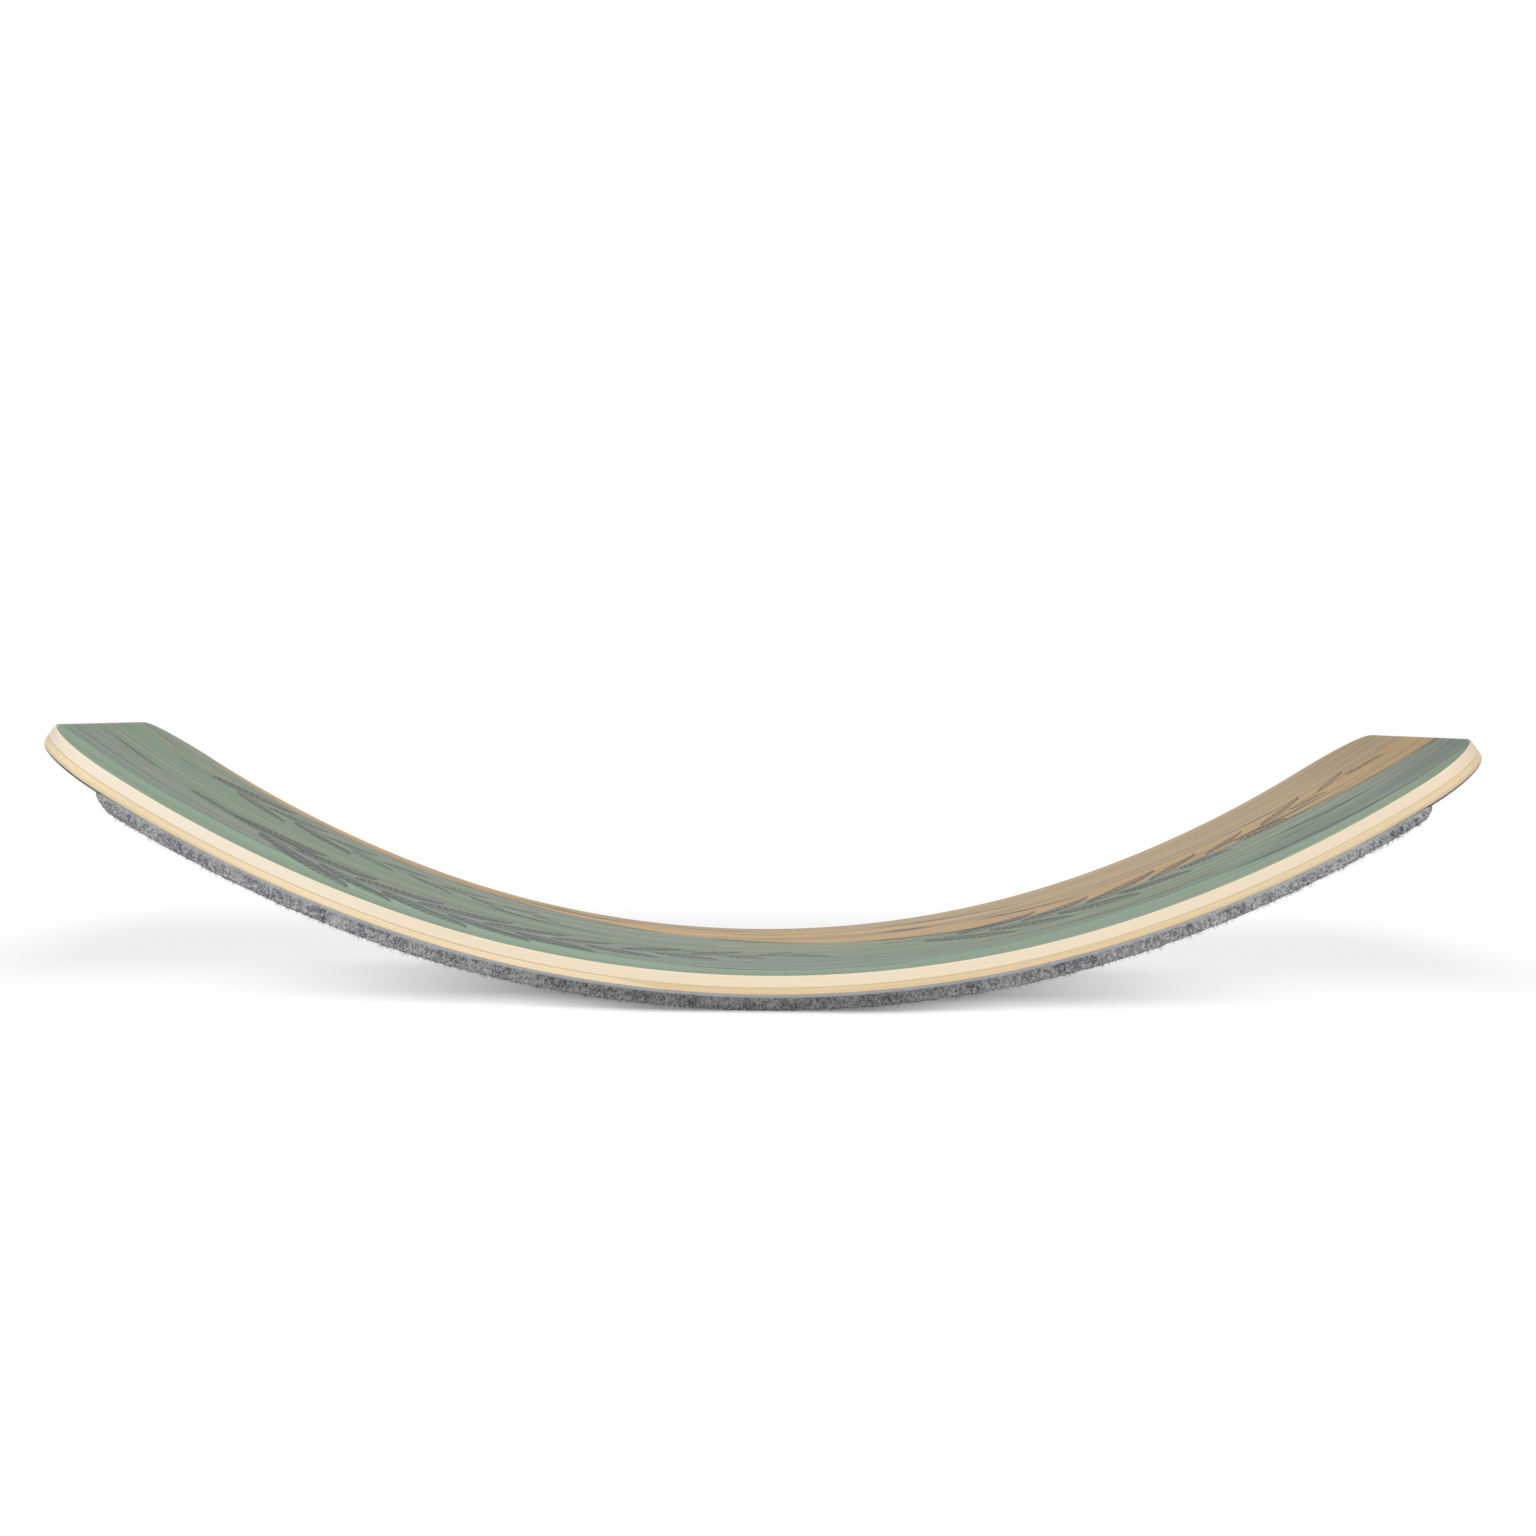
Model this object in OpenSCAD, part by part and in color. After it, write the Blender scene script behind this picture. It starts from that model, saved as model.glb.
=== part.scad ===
// Curvy balance board: a bent laminated rocker with a felt sole.
// Millimetres. +X runs along the board, +Y across it and +Z up.
// The origin is on the floor, under the middle of the felt.

/* [Board] */
// Width of the board, across its curve
board_w = 300; // [240:5:360]
// Length of the top face, measured along its curve
board_arc_len = 845; // [720:1:960]
// Radius of the four rounded corners, in plan
corner_r = 45; // [20:1:60]

/* [Curve] */
// Radius of the top face over the middle of the board
mid_r = 625; // [500:5:800]
// Radius of the top face towards the two ends
end_r = 735; // [500:5:1000]
// Angle from the middle of the board to the change of radius
mid_half_angle = 19; // [12:1:22]

/* [Laminate] */
// Thickness of the printed veneer on the top face
face_veneer_t = 0.6; // [0.4:0.1:1.2]
// How far the eased top edge sets the printed veneer back, all round
face_veneer_set_back = 0.3; // [0:0.1:1]
// Thickness of one pale ply, of those in the upper part of the core
pale_ply_t = 1.5; // [1:0.1:2.2]
// Thickness of one honey-coloured ply, of those in the lower part of the core
honey_ply_t = 1.7; // [1:0.1:2.2]
// Thickness of the dark-stained ply on the underside
backing_ply_t = 1.5; // [0.6:0.1:3]
// Radius of the rounded lower edge of the wood, all round
lower_edge_r = 4; // [3:0.5:8]

/* [Felt sole] */
// Thickness of the adhesive sheet that holds the felt
adhesive_t = 0.2; // [0.1:0.1:0.6]
// Margin of the adhesive sheet, from the rounded lower edge and from the ends of the felt
adhesive_margin = 1.5; // [0:0.5:6]
// Thickness of the felt
felt_t = 5.6; // [3:0.1:10]
// Gap along the curve from the rounded corners to the ends of the felt
felt_corner_gap = 0.5; // [0:0.5:20]

/* [Hidden] */
$fn = 360;
// Number of plies of each kind in the core
pale_ply_count = 4;
honey_ply_count = 3;
// How far a blank runs past the outline that trims it
overrun = 1;
// Share of the middle radius's angle by which each half of a sheet runs past the middle
lap_share = 0.05;

pale_plies = [for (i = [1:pale_ply_count]) str("pale_ply_", i)];
honey_plies = [for (i = [1:honey_ply_count]) str("honey_ply_", i)];

// Depths below the top face of the layers, and of the start of the rounded lower edge
pale_top = face_veneer_t;
honey_top = pale_top + pale_ply_count * pale_ply_t;
backing_top = honey_top + honey_ply_count * honey_ply_t;
adhesive_top = backing_top + backing_ply_t;
felt_top = adhesive_top + adhesive_t;
board_t = felt_top + felt_t;
lower_edge_top = adhesive_top - lower_edge_r;

// How far the rounded lower edge sets a layer of the wood back, at the middle of its thickness
function round_set_back(top, thickness) =
    lower_edge_r - sqrt(lower_edge_r ^ 2 - max(0, top + thickness / 2 - lower_edge_top) ^ 2);

// Angle that a length along the outer part of the top face turns through
function end_turn(arc) = arc / end_r * 180 / PI;

// Lengths along the top face, from the middle of the board
mid_half_arc = mid_r * mid_half_angle * PI / 180;
board_half_arc = board_arc_len / 2;
felt_half_arc = board_half_arc - corner_r - felt_corner_gap;

// Angles from the change of radius to the ends of the board and the felt
board_end_angle = end_turn(board_half_arc - mid_half_arc);
felt_end_angle = end_turn(felt_half_arc - mid_half_arc);

// A bent strip about a level axis through the origin, between two angles from straight down
module bent_strip(inner_r, thickness, width, from_angle, to_angle) {
    rotate([90, 0, 0])
        rotate_extrude(angle = to_angle - from_angle, start = from_angle - 90)
            translate([inner_r, -width / 2])
                square([thickness, width]);
}

// Half of a bent sheet, at a depth below the top face. The change of radius is straight below the origin
module half_sheet(top, thickness, width, end_angle) {
    bent_strip(mid_r + top, thickness, width, -mid_half_angle * (1 + lap_share), 0);
    translate([0, 0, end_r - mid_r])
        bent_strip(end_r + top, thickness, width, 0, end_angle);
}

// Puts a half sheet in its place, with its mirror image, so that the two lap over the middle
module both_halves() {
    for (side = [0, 1])
        mirror([side, 0, 0])
            translate([0, 0, board_t + mid_r])
                rotate([0, -mid_half_angle, 0])
                    children();
}

// Outline of one end of the board, set back all round, from the end of the board inwards
module end_outline(set_back) {
    radius = corner_r - set_back;
    half_straight = board_w / 2 - corner_r;
    for (edge = [0, 1])
        mirror([0, edge])
            translate([-corner_r, half_straight]) {
                intersection() {
                    circle(radius);
                    square(corner_r + overrun);
                }
                translate([0, -half_straight])
                    square([radius, half_straight]);
                translate([-board_arc_len, 0])
                    square([board_arc_len, radius]);
                translate([-board_arc_len, -half_straight])
                    square([board_arc_len, half_straight]);
            }
}

// One layer of the board: a bent sheet that is trimmed square to its ends, with rounded corners
module board_layer(top, thickness, set_back) {
    both_halves()
        intersection() {
            half_sheet(top, thickness, board_w + overrun, board_end_angle + end_turn(corner_r));
            translate([0, 0, end_r - mid_r])
                rotate([0, -board_end_angle, 0])
                    translate([0, 0, -end_r])
                        linear_extrude(2 * board_arc_len, center = true)
                            end_outline(set_back);
        }
}

// Printed veneer that shows on the top face
module face_veneer() {
    color("#7f9a86") board_layer(0, face_veneer_t, face_veneer_set_back);
}

// One of the pale plies, counted from the top
module pale_ply(number) {
    top = pale_top + (number - 1) * pale_ply_t;
    color("#f0dfc3") board_layer(top, pale_ply_t, round_set_back(top, pale_ply_t));
}

// One of the honey-coloured plies, counted from the top
module honey_ply(number) {
    top = honey_top + (number - 1) * honey_ply_t;
    color("#e3c594") board_layer(top, honey_ply_t, round_set_back(top, honey_ply_t));
}

// Dark-stained ply that backs the whole underside
module backing_ply() {
    color("#55595c") board_layer(backing_top, backing_ply_t, round_set_back(backing_top, backing_ply_t));
}

// Adhesive sheet between the backing ply and the felt
module felt_adhesive() {
    width = board_w - 2 * (lower_edge_r + adhesive_margin);
    color("#c9c4b6")
        both_halves()
            half_sheet(adhesive_top, adhesive_t, width, felt_end_angle - end_turn(adhesive_margin));
}

// Felt that the board rocks on, as wide as the board and square at its ends
module felt_sole() {
    color("#6b6d6e")
        both_halves()
            half_sheet(felt_top, felt_t, board_w, felt_end_angle);
}

face_veneer();
for (number = [1:pale_ply_count])
    pale_ply(number);
for (number = [1:honey_ply_count])
    honey_ply(number);
backing_ply();
felt_adhesive();
felt_sole();
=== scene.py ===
import math
import random

import bmesh
import bpy
from mathutils import Matrix, Vector, noise


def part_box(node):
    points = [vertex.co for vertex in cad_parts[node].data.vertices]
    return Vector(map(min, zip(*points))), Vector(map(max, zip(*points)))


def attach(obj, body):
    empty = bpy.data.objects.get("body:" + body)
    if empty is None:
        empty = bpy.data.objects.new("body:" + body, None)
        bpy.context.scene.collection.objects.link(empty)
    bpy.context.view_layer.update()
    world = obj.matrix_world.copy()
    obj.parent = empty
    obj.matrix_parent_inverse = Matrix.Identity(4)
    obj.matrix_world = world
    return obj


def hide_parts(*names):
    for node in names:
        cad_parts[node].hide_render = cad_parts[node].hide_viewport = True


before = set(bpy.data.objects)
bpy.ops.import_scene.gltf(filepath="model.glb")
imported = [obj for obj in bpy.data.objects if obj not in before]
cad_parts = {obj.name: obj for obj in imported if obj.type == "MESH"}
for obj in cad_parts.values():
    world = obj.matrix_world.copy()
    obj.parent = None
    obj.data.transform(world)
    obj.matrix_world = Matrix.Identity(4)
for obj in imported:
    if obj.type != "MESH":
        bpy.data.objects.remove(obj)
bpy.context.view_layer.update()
print("frame loaded:", len(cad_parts), "nodes")

# The bent board, in metres: s runs along the top face, y across it, depth down from it
board = {
    "midRadius": 0.625,  # top face, middle stretch
    "endRadius": 0.735,  # top face, towards the ends
    "midHalfAngle": math.radians(19),
    "halfArc": 0.4225,  # middle to end, along the top face
    "cornerRadius": 0.045,
    "cornerSteps": 16,
    "strip": 0.008,  # length of one bent facet
    "topEase": 0.0006,  # radius sanded on the top edge
    "lowerRadius": 0.004,  # round along the lower edge
    "easeSteps": 8,
    "weld": 1e-6,  # points closer than this are one
    "ringGap": 1e-5,  # least depth from one ring to the next
    # thickness of each layer, from the top down
    "layers": [
        ("face_veneer", 0.0006),
        ("pale_ply_1", 0.0015), ("pale_ply_2", 0.0015), ("pale_ply_3", 0.0015), ("pale_ply_4", 0.0015),
        ("honey_ply_1", 0.0017), ("honey_ply_2", 0.0017), ("honey_ply_3", 0.0017),
        ("backing_ply", 0.0015),
        ("felt_adhesive", 0.0002),
        ("felt_sole", 0.0056),
    ],
}
depthUnder = {}  # depth of each layer's lower face
boardDepth = 0.0  # grows to the whole thickness
for nodeName, thickness in board["layers"]:
    boardDepth += thickness
    depthUnder[nodeName] = boardDepth
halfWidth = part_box("pale_ply_1")[1].y
midArc = board["midRadius"] * board["midHalfAngle"]
woodDepth = depthUnder["backing_ply"]
seamDepth = depthUnder["pale_ply_4"]  # where the pale plies meet the honey ones
feltTop = depthUnder["felt_adhesive"]
feltThickness = boardDepth - feltTop


def bend(s, y, depth):  # from the flat sheet to its place on the curve
    radius = board["midRadius"]
    angle = s / radius
    centre = Vector((0.0, y, boardDepth + radius))
    past = abs(s) - midArc
    if past > 0:
        side = math.copysign(1.0, s)
        step = board["midRadius"] - board["endRadius"]
        start = board["midHalfAngle"]
        radius = board["endRadius"]
        angle = side * (start + past / radius)
        centre += Vector((side * step * math.sin(start), 0.0, -step * math.cos(start)))
    reach = radius + depth
    return centre + Vector((reach * math.sin(angle), 0.0, -reach * math.cos(angle)))


def outward(co, halfLength, halfBreadth, cornerRadius):  # nearest point inside the corners, and the way out
    inner = Vector((
        max(-halfLength + cornerRadius, min(halfLength - cornerRadius, co.x)),
        max(-halfBreadth + cornerRadius, min(halfBreadth - cornerRadius, co.y)),
        0.0,
    ))
    way = Vector((co.x, co.y, 0.0)) - inner
    return inner, way.normalized()


def cutAt(bm, geom, axis, place):  # parts these faces in a plane square to an axis
    normal = Vector((0.0, 0.0, 0.0))
    normal[axis] = 1.0
    cut = bmesh.ops.bisect_plane(
        bm, geom=geom, dist=board["weld"], plane_co=normal * place, plane_no=normal,
    )
    return [g for g in cut["geom"] if isinstance(g, bmesh.types.BMFace)]


def cutAcross(bm, places, axis):  # parts every face at these places
    for place in places:
        cutAt(bm, bm.verts[:] + bm.edges[:] + bm.faces[:], axis, place)


def evenPlaces(half, step):
    count = max(1, round(2 * half / step))
    return [-half + 2 * half * i / count for i in range(1, count)]


def roundedSheet(halfLength, halfBreadth, cornerRadius, cornerSteps, rings):
    # A flat rounded sheet. Each ring maps the outward direction and s to an inset and a depth
    bm = bmesh.new()
    bmesh.ops.create_grid(bm, x_segments=1, y_segments=1, size=1.0)
    bmesh.ops.scale(bm, vec=(halfLength, halfBreadth, 1.0), verts=bm.verts)
    bmesh.ops.bevel(
        bm, geom=bm.verts[:], offset=cornerRadius, offset_type="OFFSET", segments=cornerSteps,
        profile=0.5, affect="VERTICES", material=-1,
    )
    innerLayer = bm.verts.layers.float_vector.new("inner")
    wayLayer = bm.verts.layers.float_vector.new("way")
    ringLayer = bm.verts.layers.float.new("ring")
    for v in bm.verts:
        v[innerLayer], v[wayLayer] = outward(v.co, halfLength, halfBreadth, cornerRadius)
    topCap = bm.faces[:]
    ring = bm.edges[:]
    verts = bm.verts[:]
    for number, place in enumerate(rings):
        if number:
            grown = bmesh.ops.extrude_edge_only(bm, edges=ring)["geom"]
            verts = [g for g in grown if isinstance(g, bmesh.types.BMVert)]
            fresh = set(verts)
            ring = [g for g in grown if isinstance(g, bmesh.types.BMEdge) and fresh.issuperset(g.verts)]
        for v in verts:
            v[ringLayer] = number
            inset, depth = place(v[wayLayer], v[innerLayer].x)
            v.co = v[innerLayer] + v[wayLayer] * (cornerRadius - inset)
            v.co.z = -depth
    bottomCap = bmesh.ops.contextual_create(bm, geom=ring)["faces"]
    for cap in (topCap, bottomCap):  # strips across the rounded corners
        for f in cap:
            for e in f.edges:
                e.smooth = False
        ends = sorted({round(v.co.x, 7) for f in cap for v in f.verts})
        pieces = list(cap)
        for x in ends[1:-1]:
            geom = list({g for f in pieces for g in [f, *f.edges, *f.verts]})
            pieces = cutAt(bm, geom, 0, x)
    return bm


def bendSheet(bm):  # keeps the flat place of each point for the materials
    layers = bm.verts.layers.float_vector
    for name in ("inner", "way"):
        layers.remove(layers[name])
    bm.verts.layers.float.remove(bm.verts.layers.float["ring"])
    flat = layers.new("flat")
    for v in bm.verts:
        v[flat] = v.co
        v.co = bend(v.co.x, v.co.y, -v.co.z)
    bmesh.ops.recalc_face_normals(bm, faces=bm.faces)


def linked(name, data):  # an object of the scene
    made = bpy.data.objects.new(name, data)
    bpy.context.scene.collection.objects.link(made)
    return made


def meshFrom(bm, name, materials):
    mesh = bpy.data.meshes.new(name)
    bm.to_mesh(mesh)
    bm.free()
    for material in materials:
        mesh.materials.append(material)
    return mesh


def pieceFrom(bm, name, materials):
    for f in bm.faces:
        f.smooth = True
    piece = linked(name, meshFrom(bm, name, materials))
    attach(piece, "root")
    return piece


# Short ways to write node trees
def addNode(tree, kind, **settings):
    made = tree.nodes.new("ShaderNode" + kind)
    for key, value in settings.items():
        setattr(made, key, value)
    return made


def feed(tree, socket, value):  # a socket is linked, anything else is set
    if isinstance(value, bpy.types.NodeSocket):
        tree.links.new(value, socket)
    else:
        socket.default_value = value


def calc(tree, operation, *values, clamp=False):
    made = addNode(tree, "Math", operation=operation, use_clamp=clamp)
    for socket, value in zip(made.inputs, values):
        feed(tree, socket, value)
    return made.outputs[0]


def blend(tree, share, first, second, kind="MIX"):
    made = addNode(tree, "Mix", data_type="RGBA", blend_type=kind)
    feed(tree, made.inputs[0], share)
    feed(tree, made.inputs[6], first)
    feed(tree, made.inputs[7], second)
    return made.outputs[2]


def grainNoise(tree, vector, scale, detail=3.0, rough=0.55, offset=(0.0, 0.0, 0.0)):
    stretch = addNode(tree, "Mapping")
    feed(tree, stretch.inputs["Vector"], vector)
    stretch.inputs["Scale"].default_value = scale
    stretch.inputs["Location"].default_value = offset
    made = addNode(tree, "TexNoise")
    tree.links.new(stretch.outputs[0], made.inputs["Vector"])
    made.inputs["Scale"].default_value = 1.0
    made.inputs["Detail"].default_value = detail
    made.inputs["Roughness"].default_value = rough
    return made.outputs[0]


def grainNoises(tree, vector, kinds):  # a finish's noises, by name
    return {name: grainNoise(tree, vector, **kind) for name, kind in kinds.items()}


def spread(tree, value, low, high, toLow=0.0, toHigh=1.0):  # maps a range to another, clamped
    made = addNode(tree, "MapRange", interpolation_type="SMOOTHSTEP")
    for socket, number in zip(made.inputs, (value, low, high, toLow, toHigh)):
        feed(tree, socket, number)
    return made.outputs[0]


def grey(tree, value):  # a number as a colour
    made = addNode(tree, "CombineColor")
    for socket in made.inputs:
        feed(tree, socket, value)
    return made.outputs[0]


def shaded(tree, colour, shade):  # a colour times a number
    return blend(tree, 1.0, colour, grey(tree, shade), "MULTIPLY")


def tint(red, green, blue):  # screen colour, 0 to 255, as a linear colour
    linear = [((c / 255 + 0.055) / 1.055) ** 2.4 if c > 10 else c / 255 / 12.92 for c in (red, green, blue)]
    return (*linear, 1.0)


def emptyTree(owner):  # the nodes of a material or of the world
    owner.use_nodes = True
    owner.node_tree.nodes.clear()
    return owner.node_tree


def newMaterial(name):
    material = bpy.data.materials.new(name)
    tree = emptyTree(material)
    shader = addNode(tree, "BsdfPrincipled")
    tree.links.new(shader.outputs[0], addNode(tree, "OutputMaterial").inputs["Surface"])
    return material, tree, shader


def flatPlace(tree):  # s, y and minus the depth of the flat sheet, together and apart
    place = addNode(tree, "Attribute", attribute_name="flat").outputs["Vector"]
    parts = addNode(tree, "SeparateXYZ")
    feed(tree, parts.inputs[0], place)
    return place, parts.outputs


def objectPlace(tree):
    return addNode(tree, "TexCoord").outputs["Object"]


def bump(tree, shader, height, strength, distance):
    made = addNode(tree, "Bump")
    made.inputs["Strength"].default_value = strength
    made.inputs["Distance"].default_value = distance
    feed(tree, made.inputs["Height"], height)
    tree.links.new(made.outputs[0], shader.inputs["Normal"])


# Printed top: wavy strata in greens and tans, with leaf sprigs, over stained grain
# Here and below, a range of four numbers maps the first two to the last two
facePrint = {
    "far": {"tone": (178, 158, 126), "streak": (194, 169, 132)},
    # each layer's far edge across the board at its middle, then slant, swing, wavelength and phase
    "strata": [
        {"line": (0.122, -0.20, 0.007, 0.52, 0.4), "tone": (200, 170, 126), "streak": (186, 160, 122)},
        {"line": (0.092, -0.24, 0.010, 0.61, 1.9), "tone": (202, 168, 122), "streak": (186, 158, 118)},
        {"line": (0.058, -0.26, 0.012, 0.47, 3.4), "tone": (132, 147, 133), "streak": (146, 153, 133)},
        {"line": (0.014, -0.18, 0.018, 0.58, 0.2), "tone": (124, 146, 127), "streak": (144, 150, 123)},
        {"line": (-0.048, -0.09, 0.016, 0.50, 2.3), "tone": (122, 139, 127), "streak": (139, 147, 131)},
        {"line": (-0.106, -0.03, 0.010, 0.42, 4.4), "tone": (134, 165, 143), "streak": (141, 158, 131)},
    ],
    "noises": {
        "creep": {"scale": (9.0, 420.0, 1.0), "detail": 2.0},  # ink runs along the fibres
        "drift": {"scale": (5.0, 12.0, 1.0)},
        "streak": {"scale": (2.2, 100.0, 1.0), "detail": 2.0, "rough": 0.5},
        "broad": {"scale": (1.7, 52.0, 1.0), "offset": (3.1, 0.7, 0.0)},
        "brush": {"scale": (9.0, 14.0, 1.0), "detail": 1.0, "offset": (0.4, 2.2, 0.0)},
        "gate": {"scale": (11.0, 30.0, 1.0), "detail": 1.0},
        "fibre": {"scale": (14.0, 1500.0, 1.0), "detail": 2.0},
        "figure": {"scale": (1.6, 16.0, 1.0), "detail": 2.0},
    },
    "creepSize": 0.003,
    "driftSize": 0.016,
    "streakWeight": 0.6,  # of the streaks in the stain and in the relief
    "stainRange": (0.62, 0.98),
    "haze": (118, 122, 122),  # slate streaks in the stain
    "hazeRange": (0.52, 0.66, 0.0, 0.36),
    "edgeBlur": 0.0006,
    "hairline": 0.0007,  # half breadth of the contours
    "contour": 0.0045,  # what a full brush adds to it
    "brushRange": (0.40, 0.66),
    "gateRange": (0.42, 0.56, 0.0, 0.7),  # contours come and go
    "ink": (70, 74, 78),
    # middle line across, swing, wavelength, phase, first and last s, leaf length
    "sprigs": [
        (-0.052, 0.022, 0.46, 0.9, -0.330, 0.030, 0.074),
        (0.010, 0.026, 0.52, 2.6, 0.090, 0.385, 0.070),
        (0.062, 0.014, 0.40, 0.0, -0.370, -0.130, 0.056),
    ],
    "sprigInk": (0.2, 0.6, 0.66, 0.92),  # the ink is thinner on some streaks
    "sprigCreep": 0.4,
    "bare": (232, 219, 192),  # the print is rubbed thin along the outline
    "rubRange": (0.0004, 0.0024, 0.26, 0.0),
    "streakTone": (0.25, 0.75, 0.91, 1.07),
    "fibreTone": (0.2, 0.8, -0.06, 0.06),
    "figureTurn": 150.0,
    "figureTone": 0.025,
    "rightEndDarkening": (0.34, 0.42, 1.0, 0.82),  # darker towards the right end
    "roughRange": (0.2, 0.8, 0.68, 0.58),
    "specular": 0.18,  # matt lacquer
    "bump": (0.12, 0.0002),
}
leafSprig = {
    "step": 0.040,  # between the leaves on one side
    "angle": math.radians(42),
    "sideChance": 0.31,  # makes the two sides differ
    "varied": (0.0, 1.0, 0.82, 1.08),  # size of each leaf, by chance
    "taper": (1.15, 0.75),  # size at the foot of the sprig, and what is lost up to its tip
    "belly": (1.30, 0.55),  # fullness at a leaf's foot, and what is lost up to its tip
    "breadth": 0.66,
    "veinStep": 0.0052,
    "veinSlope": 1.5,
    "veinGap": (0.06, 0.14),  # half breadth of what a vein leaves open, in steps
    "midribGap": (0.0004, 0.0009),
    "rimRange": (0.0009, 0.0013, 1.0, 0.0),
    "stalkRange": (0.0009, 0.0015, 1.0, 0.0),
    "stalkFoot": -0.06,  # the stalk starts before the leaves
}


def leafSprigGroup():
    group = bpy.data.node_groups.new("leafSprig", "ShaderNodeTree")
    names = ("Along", "Across", "Middle", "Swing", "Wave", "Phase", "From", "To", "Leaf")
    for name in names:
        group.interface.new_socket(name, in_out="INPUT", socket_type="NodeSocketFloat")
    group.interface.new_socket("Ink", in_out="OUTPUT", socket_type="NodeSocketFloat")
    given = group.nodes.new("NodeGroupInput")
    result = group.nodes.new("NodeGroupOutput")
    along, across, middle, swing, wave, phase, start, end, leaf = given.outputs[:len(names)]

    def sums(operation, *values, clamp=False):
        return calc(group, operation, *values, clamp=clamp)

    # the wavy stalk, and how far a point lies from it
    turn = sums("ADD", sums("MULTIPLY", sums("DIVIDE", along, wave), math.tau), phase)
    stem = sums("ADD", middle, sums("MULTIPLY", swing, sums("SINE", turn)))
    off = sums("SUBTRACT", across, stem)
    side = sums("SIGN", off)
    reach = sums("ABSOLUTE", off)
    # the leaf that the point may lie in
    step = leafSprig["step"]
    angle = leafSprig["angle"]
    shift = sums("MULTIPLY", sums("ADD", side, 1.0), step / 4)  # leaves stand by turns on the two sides
    slid = sums("ADD", sums("SUBTRACT", along, sums("DIVIDE", reach, math.tan(angle))), shift)
    number = sums("FLOOR", sums("DIVIDE", slid, step))
    root = sums("MULTIPLY", sums("ADD", number, 0.5), step)
    aside = sums("ABSOLUTE", sums("MULTIPLY", sums("SUBTRACT", slid, root), math.sin(angle)))
    outwards = sums("DIVIDE", reach, math.sin(angle))
    span = sums("SUBTRACT", end, start)
    way = sums("DIVIDE", sums("SUBTRACT", sums("SUBTRACT", root, shift), start), span)
    on = sums("MULTIPLY", sums("GREATER_THAN", way, 0.0), sums("LESS_THAN", way, 1.0))
    # its size, smaller towards the tip of the sprig, and its outline
    chance = addNode(group, "TexWhiteNoise", noise_dimensions="1D")
    feed(group, chance.inputs["W"], sums("ADD", number, sums("MULTIPLY", side, leafSprig["sideChance"])))
    footSize, sizeLost = leafSprig["taper"]
    taper = sums("SUBTRACT", footSize, sums("MULTIPLY", way, sizeLost))
    varied = spread(group, chance.outputs["Value"], *leafSprig["varied"])
    size = sums("MULTIPLY", leaf, sums("MULTIPLY", taper, varied))
    share = sums("DIVIDE", outwards, size)
    footBelly, bellyLost = leafSprig["belly"]
    belly = sums("MULTIPLY", share, sums("SUBTRACT", 1.0, share))
    belly = sums("MULTIPLY", belly, sums("SUBTRACT", footBelly, sums("MULTIPLY", share, bellyLost)))
    width = sums("MULTIPLY", sums("MULTIPLY", size, leafSprig["breadth"]), belly)
    room = sums("SUBTRACT", width, aside)
    inside = sums("DIVIDE", room, facePrint["edgeBlur"], clamp=True)
    inside = sums("MULTIPLY", sums("MULTIPLY", inside, on), sums("LESS_THAN", share, 1.0))
    # veins are left open in the ink
    veinPlace = sums("SUBTRACT", outwards, sums("MULTIPLY", aside, leafSprig["veinSlope"]))
    veinPlace = sums("FRACT", sums("DIVIDE", veinPlace, leafSprig["veinStep"]))
    vein = spread(group, sums("ABSOLUTE", sums("SUBTRACT", veinPlace, 0.5)), *leafSprig["veinGap"])
    midrib = spread(group, aside, *leafSprig["midribGap"])
    leafInk = sums("MULTIPLY", inside, sums("MULTIPLY", vein, midrib))
    edge = sums("MULTIPLY", inside, spread(group, room, *leafSprig["rimRange"]))
    stalkWay = sums("DIVIDE", sums("SUBTRACT", along, start), span)
    stalkOn = sums("GREATER_THAN", stalkWay, leafSprig["stalkFoot"])
    stalkOn = sums("MULTIPLY", stalkOn, sums("LESS_THAN", stalkWay, 1.0))
    stalk = sums("MULTIPLY", spread(group, reach, *leafSprig["stalkRange"]), stalkOn)
    ink = sums("MAXIMUM", sums("MAXIMUM", leafInk, edge), stalk)
    group.links.new(ink, result.inputs[0])
    return group


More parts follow.
